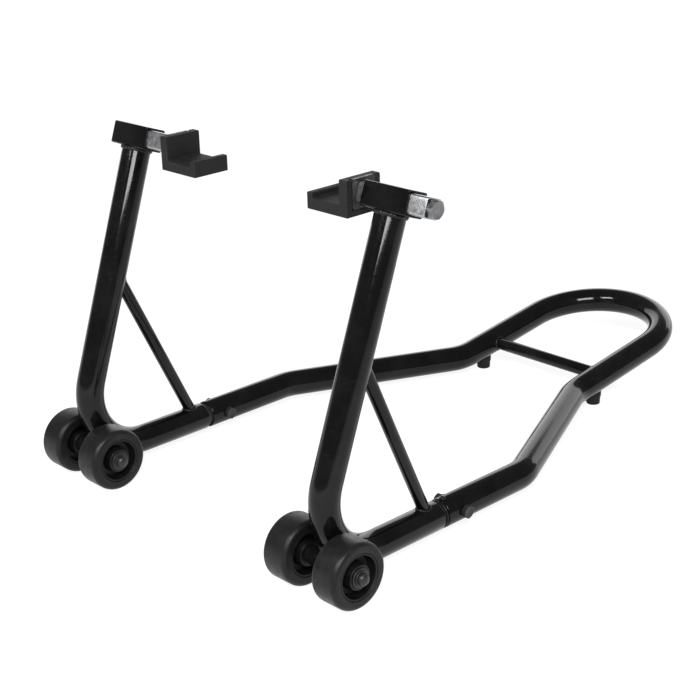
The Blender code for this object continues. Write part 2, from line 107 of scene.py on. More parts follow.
# Edges and welds, which the CAD leaves out
TUBE_LIP = 0.00095
BOX_CORNER = 0.0020
SLIDER_CORNER = 0.0030
BOX_RIM = 0.0004
ROD_EDGE = 0.0005
SLEEVE_EDGE = 0.0004
WASHER_EDGE = 0.0003
TYRE_SHOULDER = 0.0050
TYRE_INNER_EDGE = 0.0011
PAD_EDGE = 0.0011
CROSSBAR_BEAD = 0.0016
BRACE_BEAD = 0.0015
HEAD_BEAD = 0.0021
HEAD_BEAD_RING = 0.0154
SLEEVE_BEAD = 0.0021
SLEEVE_BEAD_HALF = 0.0065
SLEEVE_BEAD_SHIFT = 0.0055
JOINT_BEAD = 0.0011
JOINT_BEAD_RING = 0.0146
BEAD_STEP = 0.0006
HEAD_BEAD_DROP = 0.0012
JOINT_BEAD_BACK = 0.0022
DAB_WIDTH = 0.0034
DAB_HEIGHT = 0.0030
CHAMFER_SLOPE = math.tan(math.radians(30))

# How finely pieces are made, in degrees
ARC_STEP = 3.0  # turn of each slice of a bent tube
HEX_SHARP = 25.0  # edges stay sharp above this angle
WELD_SHARP = 60.0

# Places read from the frame
AXLE = {side: middle_of("axle_" + side) for side, _ in SIDES}
AXLE_Y = AXLE["right"].y
LEG_X = AXLE["right"].x
RAIL_Z = middle_of("spigot_right").z
HEAD = {side: middle_of("head_box_" + side) for side, _ in SIDES}
TAIL_X = middle_of("foot_right").x
JOINT_Y = {"leg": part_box("leg_tube_right")[1].y, "handle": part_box("handle_tube")[0].y}
SPLAY = HEAD["right"].x - LEG_X
LEG_CORNER_Y = HEAD["right"].y - UPRIGHT_LENGTH * math.sin(LEAN) + HEAD_FORWARD * math.cos(LEAN)


# Mesh building


def link(name, mesh):
    piece = bpy.data.objects.new(name, mesh)
    bpy.context.scene.collection.objects.link(piece)
    return piece


def mesh_piece(name, work, sharp=35.0):
    """Finish a bmesh into a smooth-shaded object with edges sharper than the angle kept sharp."""
    bmesh.ops.remove_doubles(work, verts=work.verts, dist=1e-6)
    bmesh.ops.recalc_face_normals(work, faces=work.faces)
    mesh = bpy.data.meshes.new(name)
    work.to_mesh(mesh)
    work.free()
    mesh.shade_smooth()
    mesh.set_sharp_from_angle(angle=math.radians(sharp))
    return link(name, mesh)


def loft(work, rings, closed=False):
    """Skin a list of rings that all have the same number of points."""
    made = [[work.verts.new(point) for point in ring] for ring in rings]
    pairs = list(zip(made, made[1:]))
    if closed:
        pairs.append((made[-1], made[0]))
    for low, high in pairs:
        for i in range(len(low)):
            j = (i + 1) % len(low)
            work.faces.new((low[i], low[j], high[j], high[i]))


def corner_arc(before, corner, after, radius, steps=None):
    """Points of the arc that rounds a corner, flat or in space: steps of them, or one for each ARC_STEP."""
    back = (before - corner).normalized()
    ahead = (after - corner).normalized()
    half = back.angle(ahead) / 2
    centre = corner + (back + ahead).normalized() * (radius / math.sin(half))
    first = corner + back * (radius / math.tan(half)) - centre
    last = corner + ahead * (radius / math.tan(half)) - centre
    turn = first.angle(last)
    steps = steps or max(2, round(math.degrees(turn) / ARC_STEP))
    arc = []
    for k in range(steps + 1):
        share = k / steps
        spread = first * math.sin((1 - share) * turn) + last * math.sin(share * turn)
        arc.append(centre + spread / math.sin(turn))
    return arc


def fillet(points, radii, closed=True, steps=5):
    """Round the corners of a flat outline; a radius of 0 keeps the corner."""
    corners = [Vector(point) for point in points]
    rounded = []
    for i, radius in enumerate(radii):
        if radius == 0 or (not closed and i in (0, len(corners) - 1)):
            rounded.append(corners[i])
        else:
            after = corners[(i + 1) % len(corners)]
            rounded += corner_arc(corners[i - 1], corners[i], after, radius, steps)
    return rounded


def circle(radius, height, steps, reach=None):
    """Ring about Z; reach(angle) scales the radius to draw shapes that aren't round."""
    ring = []
    for i in range(steps):
        angle = 2 * math.pi * i / steps
        out = radius if reach is None else reach(angle)
        ring.append(Vector((out * math.cos(angle), out * math.sin(angle), height)))
    return ring


def lathe(name, profile, closed=True, steps=96):
    """Turn an outline of (radius, height) points about Z."""
    work = bmesh.new()
    loft(work, [circle(radius, height, steps) for radius, height in profile], closed)
    return mesh_piece(name, work)


def stand_on(piece, location, axis):
    """Put a piece's origin at a place with its own Z along an axis."""
    piece.matrix_world = Matrix.Translation(location) @ axis.to_track_quat("Z", "Y").to_matrix().to_4x4()
    return piece


def rounded_square(size, radius, height, steps=6):
    """Ring about Z round a square with rounded corners."""
    inner = size / 2 - radius
    ring = []
    for quarter, (sx, sy) in enumerate(((1, 1), (-1, 1), (-1, -1), (1, -1))):
        for k in range(steps + 1):
            angle = math.radians(90 * (quarter + k / steps))
            x = sx * inner + radius * math.cos(angle)
            y = sy * inner + radius * math.sin(angle)
            ring.append(Vector((x, y, height)))
    return ring


def square_tube(name, size, wall, length, corner):
    """Square tube along Z with rounded corners and softened ends."""
    half = length / 2
    smallest_corner = 0.0006
    outline = [(0.0, -half), (0.0, half), (wall, half), (wall, -half)]
    work = bmesh.new()
    rings = []
    for inset, height in fillet(outline, [BOX_RIM] * 4, steps=3):
        rings.append(rounded_square(size - 2 * inset, max(corner - inset, smallest_corner), height))
    loft(work, rings, closed=True)
    return mesh_piece(name, work)


def hex_reach(flats):
    """How far a hexagon reaches in each direction from its centre."""
    return lambda angle: flats / 2 / math.cos((angle + math.pi / 6) % (math.pi / 3) - math.pi / 6)


def hex_rings(flats, low, high, crown, steps, both=False):
    """Rings of a hexagon prism whose corners are turned off at the top, and at the bottom too for a nut."""
    reach = hex_reach(flats)

    def turned(height, sign):
        ring = circle(0.0, height, steps, reach)
        for point in ring:
            point.z -= sign * (Vector((point.x, point.y)).length - crown) * CHAMFER_SLOPE
        return ring

    bottom = [circle(crown, low, steps), turned(low, -1)] if both else [circle(0.0, low, steps, reach)]
    return bottom + [turned(high, 1), circle(crown, high, steps)]


def hex_bolt(name, flats, height, shank_radius, shank_length, steps=72):
    """Head from Z = 0 upwards with a shallow dish in its face, shank below it with a turned-off tip."""
    crown = flats / 2 * 0.96
    tip = -shank_length
    dish_radius = crown * 0.86
    dish = height - 0.0003
    rings = [circle(0.0, tip, steps), circle(shank_radius * 0.8, tip, steps)]
    rings += [circle(shank_radius, tip + shank_radius * 0.25, steps), circle(shank_radius, 0.0, steps)]
    rings += hex_rings(flats, 0.0, height, crown, steps)
    rings += [circle(dish_radius, dish, steps), circle(0.0, dish, steps)]
    work = bmesh.new()
    loft(work, rings)
    return mesh_piece(name, work, HEX_SHARP)


def hex_nut(name, flats, height, bore, steps=72):
    """Nut about the middle of its height, with both faces turned off and a countersunk bore."""
    crown = flats / 2 * 0.97
    sink = 0.0005
    top = height / 2
    rings = hex_rings(flats, -top, top, crown, steps, both=True)
    rings += [circle(bore + sink, top, steps), circle(bore, top - sink, steps)]
    rings += [circle(bore, sink - top, steps), circle(bore + sink, -top, steps)]
    work = bmesh.new()
    loft(work, rings, closed=True)
    return mesh_piece(name, work, HEX_SHARP)


def frames_along(points, closed=False):
    """(tangent, side, up) at each point, carried along the path without twisting."""
    count = len(points)
    tangents = []
    for i in range(count):
        before = points[i - 1] if closed or i else points[i]
        after = points[(i + 1) % count] if closed or i < count - 1 else points[i]
        tangents.append((after - before).normalized())
    side = tangents[0].orthogonal().normalized()
    frames = []
    for i, tangent in enumerate(tangents):
        if i:
            side = tangents[i - 1].rotation_difference(tangent) @ side
        side = (side - tangent * side.dot(tangent)).normalized()
        frames.append((tangent, side, tangent.cross(side)))
    return frames


def ring_at(point, side, up, radius, steps):
    """Circle round a point in space."""
    ring = []
    for i in range(steps):
        angle = 2 * math.pi * i / steps
        ring.append(point + side * (radius * math.cos(angle)) + up * (radius * math.sin(angle)))
    return ring


def bent_tube(name, points, radius, wall, steps=56):
    """Hollow tube along a path with softly rounded open ends."""
    frames = frames_along(points)
    angles = [math.radians(a) for a in (0, 30, 60, 90)]
    outer = [ring_at(p, s, u, radius, steps) for p, (_, s, u) in zip(points, frames)][1:-1]
    inner = [ring_at(p, s, u, radius - wall, steps) for p, (_, s, u) in zip(points, frames)][1:-1]

    def end_rings(index, sign):
        """Rings over the rounded end, from the outside of the tube to the inside."""
        tangent, side, up = frames[index]
        turns = [(radius - TUBE_LIP + TUBE_LIP * math.cos(a), a) for a in angles]
        turns += [(radius - wall + TUBE_LIP - TUBE_LIP * math.cos(a), a) for a in reversed(angles)]
        rings = []
        for reach, a in turns:
            shift = tangent * (sign * TUBE_LIP * (math.sin(a) - 1))
            rings.append(ring_at(points[index] + shift, side, up, reach, steps))
        return rings

    work = bmesh.new()
    loft(work, outer + end_rings(-1, 1) + inner[::-1] + end_rings(0, -1)[::-1], closed=True)
    return mesh_piece(name, work)


def bead(name, line, radius, seed, pitch=0.0022, closed=True, rough=0.22, steps=12):
    """Weld bead along a line, with the ripple and the unevenness of hand welding."""
    ripple_height = 0.10
    lump_scale = 320.0
    elsewhere = Vector((seed * 7.3, 0.0, 0.0))
    points = evenly(line, BEAD_STEP, closed)
    rings = []
    travelled = 0.0
    for i, (point, (_, side, up)) in enumerate(zip(points, frames_along(points, closed))):
        ripple = ripple_height * math.cos(2 * math.pi * travelled / pitch)
        ring = []
        for k in range(steps):
            angle = 2 * math.pi * k / steps
            out = side * math.cos(angle) + up * math.sin(angle)
            lump = noise.noise((point + out * radius) * lump_scale + elsewhere)
            ring.append(point + out * (radius * (1 + ripple + rough * lump)))
        rings.append(ring)
        travelled += (points[(i + 1) % len(points)] - point).length
    if not closed:
        rings = [[points[0]] * steps] + rings + [[points[-1]] * steps]
    work = bmesh.new()
    loft(work, rings, closed)
    return mesh_piece(name, work, WELD_SHARP)


def evenly(points, step, closed):
    """The same path with points a step apart."""
    path = list(points) + ([points[0]] if closed else [])
    lengths = [(b - a).length for a, b in zip(path, path[1:])]
    count = max(8, round(sum(lengths) / step))
    spaced = []
    for i in range(count if closed else count + 1):
        left = sum(lengths) * i / count
        for k, length in enumerate(lengths):
            if left <= length or k == len(lengths) - 1:
                spaced.append(path[k].lerp(path[k + 1], min(1.0, left / length)))
                break
            left -= length
    return spaced


# Paths


def route(corners, radii):
    """A tube's centre line through its corners, each bent to its radius."""
    points = [corners[0]]
    for i, radius in enumerate(radii, start=1):
        points += corner_arc(corners[i - 1], corners[i], corners[i + 1], radius)
    return points + [corners[-1]]


def lean_axis(sign):
    """Direction of an upright's centre line."""
    low = Vector((sign * LEG_X, 0.0, 0.0))
    high = Vector((sign * (LEG_X + SPLAY), UPRIGHT_LENGTH * math.sin(LEAN), UPRIGHT_LENGTH * math.cos(LEAN)))
    return (high - low).normalized()


def upright_point(sign, distance):
    """Point on an upright's centre line, counted from where it meets the foot stretch's line."""
    out = sign * (LEG_X + SPLAY * distance / UPRIGHT_LENGTH)
    return Vector((out, LEG_CORNER_Y + distance * math.sin(LEAN), RAIL_Z + distance * math.cos(LEAN)))


def tail_height(y):
    """Height of the tail's centre line, which rises to the grip."""
    return RAIL_Z + (y - AXLE_Y - TAIL_BEHIND_AXLE) * math.tan(TAIL_SLOPE)


def rail_corners(sign):
    grip_y = AXLE_Y + GRIP_BEHIND_AXLE
    return [
        Vector((sign * LEG_X, JOINT_Y["handle"], RAIL_Z)),
        Vector((sign * LEG_X, AXLE_Y + RAIL_BEND_BEHIND_AXLE, RAIL_Z)),
        Vector((sign * TAIL_X, AXLE_Y + TAIL_BEHIND_AXLE, RAIL_Z)),
        Vector((sign * TAIL_X, grip_y, tail_height(grip_y))),
    ]


def handle_path():
    """From the right joint round the grip to the left joint."""
    steps = 60
    rise = Vector((0.0, math.cos(TAIL_SLOPE), math.sin(TAIL_SLOPE)))
    right, left = (route(rail_corners(sign), [RAIL_BEND_RADIUS, TAIL_BEND_RADIUS]) for sign in (1, -1))
    start = Vector((0.0, right[-1].y, right[-1].z))
    grip = []
    for i in range(1, steps):
        angle = math.pi * i / steps
        grip.append(start + X_AXIS * (TAIL_X * math.cos(angle)) + rise * (TAIL_X * math.sin(angle)))
    return right + grip + left[::-1]


def saddle(start, direction, radius, tube_point, tube_axis, tube_radius, steps=64):
    """The line where a round stay meets a round tube."""
    side = direction.orthogonal().normalized()
    up = direction.cross(side)
    line = []
    for point in ring_at(start, side, up, radius, steps):
        across = point - tube_point
        across -= tube_axis * across.dot(tube_axis)
        along = direction - tube_axis * direction.dot(tube_axis)
        # Where |across + along * reach| is the tube's radius
        a = along.dot(along)
        b = 2 * across.dot(along)
        c = across.dot(across) - tube_radius**2
        reach = (-b - math.sqrt(max(b * b - 4 * a * c, 0.0))) / (2 * a)
        line.append(point + direction * reach)
    return line


# Materials


class Finish:
    """A node material put together from layers of procedural noise in the piece's own coordinates."""

    def __init__(self, name, metallic=0.0, specular=0.5):
        self.material = bpy.data.materials.new(name)
        self.material.use_nodes = True
        self.tree = self.material.node_tree
        self.shader = self.tree.nodes["Principled BSDF"]
        self.shader.inputs["Metallic"].default_value = metallic
        self.shader.inputs["Specular IOR Level"].default_value = specular
        self.coordinates = self.tree.nodes.new("ShaderNodeTexCoord").outputs["Object"]
        self.normal = None

    def noise(self, scale, detail=4.0, roughness=0.55, stretch=(1.0, 1.0, 1.0), distortion=0.0):
        """Noise with features about 1 / scale metres wide, less along an axis that stretch raises."""
        mapping = self.tree.nodes.new("ShaderNodeMapping")
        mapping.inputs["Scale"].default_value = stretch
        self.tree.links.new(self.coordinates, mapping.inputs["Vector"])
        texture = self.tree.nodes.new("ShaderNodeTexNoise")
        texture.inputs["Scale"].default_value = scale
        texture.inputs["Detail"].default_value = detail
        texture.inputs["Roughness"].default_value = roughness
        texture.inputs["Distortion"].default_value = distortion
        self.tree.links.new(mapping.outputs["Vector"], texture.inputs["Vector"])
        return texture.outputs["Fac"]

    def cells(self, scale):
        texture = self.tree.nodes.new("ShaderNodeTexVoronoi")
        texture.inputs["Scale"].default_value = scale
        self.tree.links.new(self.coordinates, texture.inputs["Vector"])
        return texture.outputs["Distance"]

    def spread(self, value, low, high, to_low=0.0, to_high=1.0):
        """Stretch the part of a value between low and high over a new range."""
        node = self.tree.nodes.new("ShaderNodeMapRange")
        for socket, number in zip(("From Min", "From Max", "To Min", "To Max"), (low, high, to_low, to_high)):
            node.inputs[socket].default_value = number
        self.tree.links.new(value, node.inputs["Value"])
        return node.outputs["Result"]

    def math(self, operation, first, second):
        node = self.tree.nodes.new("ShaderNodeMath")
        node.operation = operation
        for socket, value in zip(node.inputs, (first, second)):
            if isinstance(value, float):
                socket.default_value = value
            else:
                self.tree.links.new(value, socket)
        return node.outputs["Value"]

    def mix(self, share, first, second):
        node = self.tree.nodes.new("ShaderNodeMix")
        node.data_type = "RGBA"
        self.tree.links.new(share, node.inputs["Factor"])
        for socket, value in ((node.inputs["A"], first), (node.inputs["B"], second)):
            if isinstance(value, tuple):
                socket.default_value = (*value, 1.0)
            else:
                self.tree.links.new(value, socket)
        return node.outputs["Result"]

    def colour(self, value):
        self.tree.links.new(value, self.shader.inputs["Base Color"])

    def rough(self, value):
        self.tree.links.new(value, self.shader.inputs["Roughness"])

    def bump(self, height, distance, strength):
        """Add a layer of bump over the ones before it."""
        node = self.tree.nodes.new("ShaderNodeBump")
        node.inputs["Distance"].default_value = distance
        node.inputs["Strength"].default_value = strength
        self.tree.links.new(height, node.inputs["Height"])
        if self.normal is not None:
            self.tree.links.new(self.normal, node.inputs["Normal"])
        self.normal = node.outputs["Normal"]
        self.tree.links.new(self.normal, self.shader.inputs["Normal"])


def make_paint(name):
    """Gloss black powder coat: fine orange peel, a little dust and faint handling scuffs."""
    paint = Finish(name, specular=0.22)
    dust = paint.spread(paint.noise(26.0, 6.0, 0.65), 0.42, 0.75)
    scuffs = paint.spread(paint.noise(60.0, 8.0, 0.7, (1.0, 1.0, 6.0), 1.2), 0.60, 0.72)
    base = paint.mix(dust, (0.0022, 0.0022, 0.0023), (0.0060, 0.0060, 0.0060))
    paint.colour(paint.mix(paint.math("MULTIPLY", scuffs, 0.35), base, (0.022, 0.022, 0.022)))
    haze = paint.spread(paint.noise(120.0, 5.0, 0.6), 0.3, 0.7, 0.07, 0.13)
    paint.rough(paint.math("ADD", haze, paint.math("MULTIPLY", scuffs, 0.16)))
    paint.bump(paint.noise(420.0, 2.0, 0.4), 0.00003, 0.5)
    return paint.material


def make_weld(name):
    """Painted weld: the same black over spatter."""
    weld = Finish(name, specular=0.2)
    weld.colour(weld.mix(weld.noise(300.0, 5.0), (0.003, 0.003, 0.003), (0.012, 0.012, 0.012)))
    weld.rough(weld.spread(weld.noise(500.0), 0.3, 0.7, 0.22, 0.42))
    weld.bump(weld.noise(900.0, 5.0, 0.6), 0.0003, 0.6)
    return weld.material


def make_rubber(name, dark, light):
    """Moulded rubber: fine grain, mould streaks, pale bloom and rubbed patches."""
    rubber = Finish(name, specular=0.25)
    bloom = rubber.spread(rubber.noise(45.0, 6.0, 0.7), 0.35, 0.75)
    lines = rubber.spread(rubber.noise(38.0, 5.0, 0.6, (1.0, 1.0, 14.0), 0.4), 0.45, 0.75)
    base = rubber.mix(bloom, (dark,) * 3, (light,) * 3)
    specks = rubber.spread(rubber.noise(1400.0, 2.0), 0.62, 0.78)
    base = rubber.mix(rubber.math("MULTIPLY", lines, 0.5), base, (light * 1.25,) * 3)
    rubber.colour(rubber.mix(rubber.math("MULTIPLY", specks, 0.3), base, (light * 2.2,) * 3))
    rubber.rough(rubber.spread(rubber.noise(90.0, 6.0), 0.3, 0.7, 0.58, 0.80))
    rubber.bump(rubber.noise(1500.0, 3.0, 0.6), 0.00012, 0.6)
    rubber.bump(lines, 0.00010, 0.5)
    return rubber.material


def make_wheel(name, dark, light):
    """Hard wheel rubber or plastic: streaks that run round the axle, dust and small pale scratches."""
    wheel = Finish(name, specular=0.20)
    dust = wheel.spread(wheel.noise(48.0, 7.0, 0.72), 0.38, 0.72)
    rolled = wheel.noise(26.0, 6.0, 0.7, (1.0, 1.0, 22.0), 0.3)
    base = wheel.mix(dust, (dark,) * 3, (light,) * 3)
    marks = wheel.math("MULTIPLY", wheel.spread(rolled, 0.52, 0.70), 0.55)
    base = wheel.mix(marks, base, (light * 2.0,) * 3)
    specks = wheel.math("MULTIPLY", wheel.spread(wheel.noise(900.0, 3.0, 0.7), 0.62, 0.76), 0.5)
    wheel.colour(wheel.mix(specks, base, (light * 4.0,) * 3))
    wheel.rough(wheel.spread(wheel.noise(110.0, 6.0, 0.7), 0.3, 0.7, 0.30, 0.54))
    wheel.bump(wheel.noise(850.0, 4.0, 0.65), 0.00014, 0.6)
    wheel.bump(rolled, 0.00016, 0.6)
    return wheel.material


def make_zinc(name, dull, bright):
    """Zinc-plated steel: cloudy plating over fine crystals and drawn lines."""
    zinc = Finish(name, metallic=1.0)
    clouds = zinc.spread(zinc.noise(90.0, 6.0, 0.65, distortion=0.6), 0.3, 0.7)
    drawn = zinc.noise(170.0, 6.0, 0.7, (1.0, 1.0, 0.12))
    crystals = zinc.spread(zinc.cells(520.0), 0.1, 0.7)
    base = zinc.mix(clouds, dull, bright)
    base = zinc.mix(zinc.math("MULTIPLY", crystals, 0.35), base, tuple(0.62 * part for part in dull))
    stains = zinc.spread(zinc.noise(34.0, 7.0, 0.7), 0.60, 0.78)
    zinc.colour(zinc.mix(zinc.math("MULTIPLY", stains, 0.5), base, tuple(0.55 * part for part in dull)))
    zinc.rough(zinc.spread(zinc.noise(240.0, 5.0, 0.6), 0.3, 0.7, 0.27, 0.46))
    zinc.bump(zinc.math("ADD", drawn, crystals), 0.00005, 0.6)
    return zinc.material


def make_black_steel(name):
    """Blackened fasteners and bushes."""
    steel = Finish(name, metallic=0.35, specular=0.4)
    steel.colour(steel.mix(steel.noise(180.0, 6.0), (0.010, 0.010, 0.011), (0.030, 0.030, 0.031)))
    steel.rough(steel.spread(steel.noise(260.0, 4.0), 0.3, 0.7, 0.28, 0.48))
    steel.bump(steel.noise(700.0, 4.0), 0.00008, 0.5)
    return steel.material


def make_plastic(name):
    """Dull moulded plastic of the slider plugs."""
    plastic = Finish(name, specular=0.3)
    plastic.colour(plastic.mix(plastic.noise(150.0, 5.0), (0.004, 0.004, 0.004), (0.012, 0.012, 0.012)))
    plastic.rough(plastic.spread(plastic.noise(200.0), 0.3, 0.7, 0.40, 0.58))
    plastic.bump(plastic.noise(1100.0, 3.0), 0.00008, 0.5)
    return plastic.material


PAINT = make_paint("gloss_black_coat")
WELD = make_weld("painted_weld")
PAD_RUBBER = make_rubber("pad_rubber", 0.0040, 0.0088)
FOOT_RUBBER = make_rubber("foot_rubber", 0.0030, 0.0060)
TYRE = make_wheel("wheel_rubber_finish", 0.0036, 0.0085)
HUB = make_wheel("wheel_core_finish", 0.0022, 0.0055)
ZINC = make_zinc("zinc_plate", (0.38, 0.385, 0.40), (0.56, 0.565, 0.575))
BOLT_ZINC = make_zinc("zinc_plate_dull", (0.17, 0.17, 0.18), (0.32, 0.32, 0.33))
BLACK_STEEL = make_black_steel("blackened_steel")
PLUG_PLASTIC = make_plastic("plug_plastic")


def finish_piece(piece, material, body, slot, *nodes):
    """Give a piece its material, put it on its body and hide the CAD nodes that it stands for."""
    piece.data.materials.clear()
    piece.data.materials.append(material)
    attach(piece, body)
    if nodes:
        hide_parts(*nodes)
    return piece


def keep_node(name, material):
    """Show a CAD node as it is, with a better material."""
    for entry in NODES[name].material_slots:
        entry.material = material


def weld_on(name, line, radius, seed, **shape):
    """Weld bead along a line of the frame."""
    finish_piece(bead(name, line, radius, seed, **shape), WELD, "frame", "black_paint")


# Pieces of the frame


def make_handle():
    tube = bent_tube("handle_tube_fine", handle_path(), TUBE_RADIUS, TUBE_WALL)
    finish_piece(tube, PAINT, "frame", "black_paint", "handle_tube")
    bar_at = middle_of("crossbar")
    length = 2 * (TAIL_X - 0.6 * TUBE_RADIUS)
    bar = lathe("crossbar_fine", rod_outline(CROSSBAR_RADIUS, length), closed=False, steps=40)
    finish_piece(stand_on(bar, bar_at, X_AXIS), PAINT, "frame", "black_paint", "crossbar")
    tail_axis = Vector((0.0, math.cos(TAIL_SLOPE), math.sin(TAIL_SLOPE)))
    for side, sign in SIDES:
        rail = Vector((sign * TAIL_X, bar_at.y, tail_height(bar_at.y)))
        line = saddle(bar_at, X_AXIS * sign, CROSSBAR_RADIUS, rail, tail_axis, TUBE_RADIUS)
        weld_on("crossbar_weld_" + side, line, CROSSBAR_BEAD, seed=sign + 4)


def rod_outline(radius, length):
    """Outline of a round rod whose ends lie inside the tubes that it joins."""
    half = length / 2
    corners = [(0.0, -half), (radius, -half), (radius, half), (0.0, half)]
    return fillet(corners, [0, ROD_EDGE, ROD_EDGE, 0], closed=False, steps=3)


def make_leg(side, sign):
    corner = upright_point(sign, 0.0)
    top = upright_point(sign, UPRIGHT_LENGTH - BOX_SIZE / 2 - GAP)
    end = Vector((sign * LEG_X, JOINT_Y["leg"], RAIL_Z))
    path = route([top, corner, end], [LEG_BEND_RADIUS])
    leg = bent_tube("leg_tube_fine_" + side, path, TUBE_RADIUS, TUBE_WALL)
    finish_piece(leg, PAINT, "frame", "black_paint", "leg_tube_" + side)
    make_brace(side, sign)
    make_head_weld(side, sign, top)
    make_sleeve(side)


def make_brace(side, sign):
    """Stay from the foot stretch to the upright, with a ring of weld at each end."""
    foot = Vector((sign * LEG_X, AXLE_Y + BRACE_FOOT_BEHIND_AXLE, RAIL_Z))
    brace_top = upright_point(sign, BRACE_TOP_DISTANCE)
    run = brace_top - foot
    halfway = (foot + brace_top) / 2
    outline = rod_outline(BRACE_RADIUS, run.length - TUBE_RADIUS)
    brace = lathe("brace_fine_" + side, outline, closed=False, steps=40)
    stand_on(brace, halfway, run.normalized())
    finish_piece(brace, PAINT, "frame", "black_paint", "brace_" + side)
    ends = (("high", run.normalized(), brace_top, lean_axis(sign)), ("low", -run.normalized(), foot, Y_AXIS))
    for end, direction, tube_point, tube_axis in ends:
        line = saddle(halfway, direction, BRACE_RADIUS, tube_point, tube_axis, TUBE_RADIUS)
        weld_on(f"brace_weld_{end}_{side}", line, BRACE_BEAD, seed=sign + len(end))


def make_head_weld(side, sign, top):
    """The thick uneven bead that closes the upright against the underside of the square tube."""
    axis = lean_axis(sign)
    across = X_AXIS - axis * X_AXIS.dot(axis)
    middle = top - axis * HEAD_BEAD_DROP
    ring = ring_at(middle, across.normalized(), axis.cross(across).normalized(), HEAD_BEAD_RING, 72)
    weld_on("head_weld_" + side, ring, HEAD_BEAD, seed=sign + 9, pitch=0.0034, rough=0.34)


def make_sleeve(side):
    """Axle sleeve and its two short welds in the groove against the bend."""
    node = "axle_sleeve_" + side
    low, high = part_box(node)
    half = (high.x - low.x) / 2
    bore = BOLT_RADIUS + SLEEVE_PLAY
    outline = [(bore, -half), (SLEEVE_RADIUS, -half), (SLEEVE_RADIUS, half), (bore, half)]
    sleeve = lathe("axle_sleeve_fine_" + side, fillet(outline, [SLEEVE_EDGE] * 4, steps=3), steps=64)
    stand_on(sleeve, AXLE[side], X_AXIS)
    finish_piece(sleeve, PAINT, "frame", "black_paint", node)

    bend_y = LEG_CORNER_Y + LEG_BEND_RADIUS / math.tan(math.pi / 4 - LEAN / 2)
    centre = Vector((AXLE[side].x, bend_y, RAIL_Z + LEG_BEND_RADIUS))
    inward = (centre - AXLE[side]).normalized()
    along = inward.cross(X_AXIS)
    contact = centre - inward * (LEG_BEND_RADIUS + TUBE_RADIUS)
    for row, shift in (("upper", 1), ("lower", -1)):
        middle = contact + along * (shift * SLEEVE_BEAD_SHIFT)
        ends = [middle - X_AXIS * SLEEVE_BEAD_HALF, middle + X_AXIS * SLEEVE_BEAD_HALF]
        weld_on(f"sleeve_weld_{row}_{side}", ends, SLEEVE_BEAD, seed=shift + 6, closed=False)


def make_joint(side, sign):
    """The spigot, and the cross bolt with its washer and nut."""
    keep_node("spigot_" + side, BLACK_STEEL)
    low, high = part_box("handle_bolt_" + side)
    centre = (low + high) / 2
    seat = Vector((sign * LEG_X + TUBE_RADIUS + GAP, centre.y, centre.z))
    bolt = hex_bolt("handle_bolt_fine_" + side, M8_FLATS, high.x - seat.x, BOLT_RADIUS, seat.x - low.x)
    finish_piece(stand_on(bolt, seat, X_AXIS), BLACK_STEEL, "frame", "black_steel", "handle_bolt_" + side)
    make_washer("handle_washer_" + side)
    nut = hex_nut("handle_nut_fine_" + side, M8_FLATS, M8_NUT_HEIGHT, BOLT_RADIUS + THREAD_PLAY)
    stand_on(nut, middle_of("handle_nut_" + side), X_AXIS)
    finish_piece(nut, BLACK_STEEL, "frame", "black_steel", "handle_nut_" + side)


def make_washer(node):
    """Washer of the size of its CAD node, about X."""
    low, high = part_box(node)
    half = (high.x - low.x) / 2
    outer = (high.z - low.z) / 2
    bore = BOLT_RADIUS + WASHER_PLAY
    outline = [(bore, -half), (outer, -half), (outer, half), (bore, half)]
    washer = lathe(node + "_fine", fillet(outline, [WASHER_EDGE] * 4, steps=3), steps=64)
    finish_piece(stand_on(washer, (low + high) / 2, X_AXIS), BLACK_STEEL, "frame", "black_steel", node)


def make_joint_weld():
    """Ring of weld round the right spigot, and the dab that stands on top of the handle tube beside it."""
    middle = Vector((LEG_X, JOINT_Y["handle"] - JOINT_BEAD_BACK, RAIL_Z))
    ring = ring_at(middle, X_AXIS, Z_AXIS, JOINT_BEAD_RING, 72)
    weld_on("joint_ring_right", ring, JOINT_BEAD, seed=3, pitch=0.003, rough=0.3)

    work = bmesh.new()
    bmesh.ops.create_icosphere(work, subdivisions=4, radius=1.0)
    for vert in work.verts:
        lump = 1 + 0.16 * noise.noise(vert.co * 2.1)
        vert.co = Vector((vert.co.x * DAB_WIDTH, vert.co.y * DAB_HEIGHT, vert.co.z * DAB_HEIGHT)) * lump
    dab = mesh_piece("joint_weld_dab", work, WELD_SHARP)
    dab.location = (LEG_X + 0.001, JOINT_Y["handle"] + 0.0040, RAIL_Z + TUBE_RADIUS + 0.0004)
    finish_piece(dab, WELD, "frame", "black_paint")


def make_foot(side):
    """Rubber foot, stepped in below its waist, with the bore and the recess for its screw."""
    node = "foot_" + side
    low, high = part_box(node)
    centre = (low + high) / 2
    top = tail_height(centre.y) - TUBE_RADIUS + FOOT_SINK
    top_radius = (high.x - low.x) / 2
    outline = [
        (FOOT_BORE, top),
        (top_radius, top),
        (top_radius - 0.0004, FOOT_WAIST),
        (FOOT_BOTTOM_RADIUS + 0.0003, FOOT_WAIST - 0.001),
        (FOOT_BOTTOM_RADIUS, 0.0),
        (FOOT_RECESS_RADIUS, 0.0),
        (FOOT_RECESS_RADIUS, FOOT_RECESS_DEPTH),
        (FOOT_BORE, FOOT_RECESS_DEPTH),
    ]
    radii = [0.0002, 0.001, 0.0005, 0.0005, 0.0010, 0.0003, 0.0003, 0.0002]
    foot = lathe(node + "_fine", fillet(outline, radii))
    stand_on(foot, Vector((centre.x, centre.y, 0.0)), Z_AXIS)
    finish_piece(foot, FOOT_RUBBER, "frame", "black_rubber", node)
    keep_node("foot_screw_" + side, BOLT_ZINC)


# Wheels


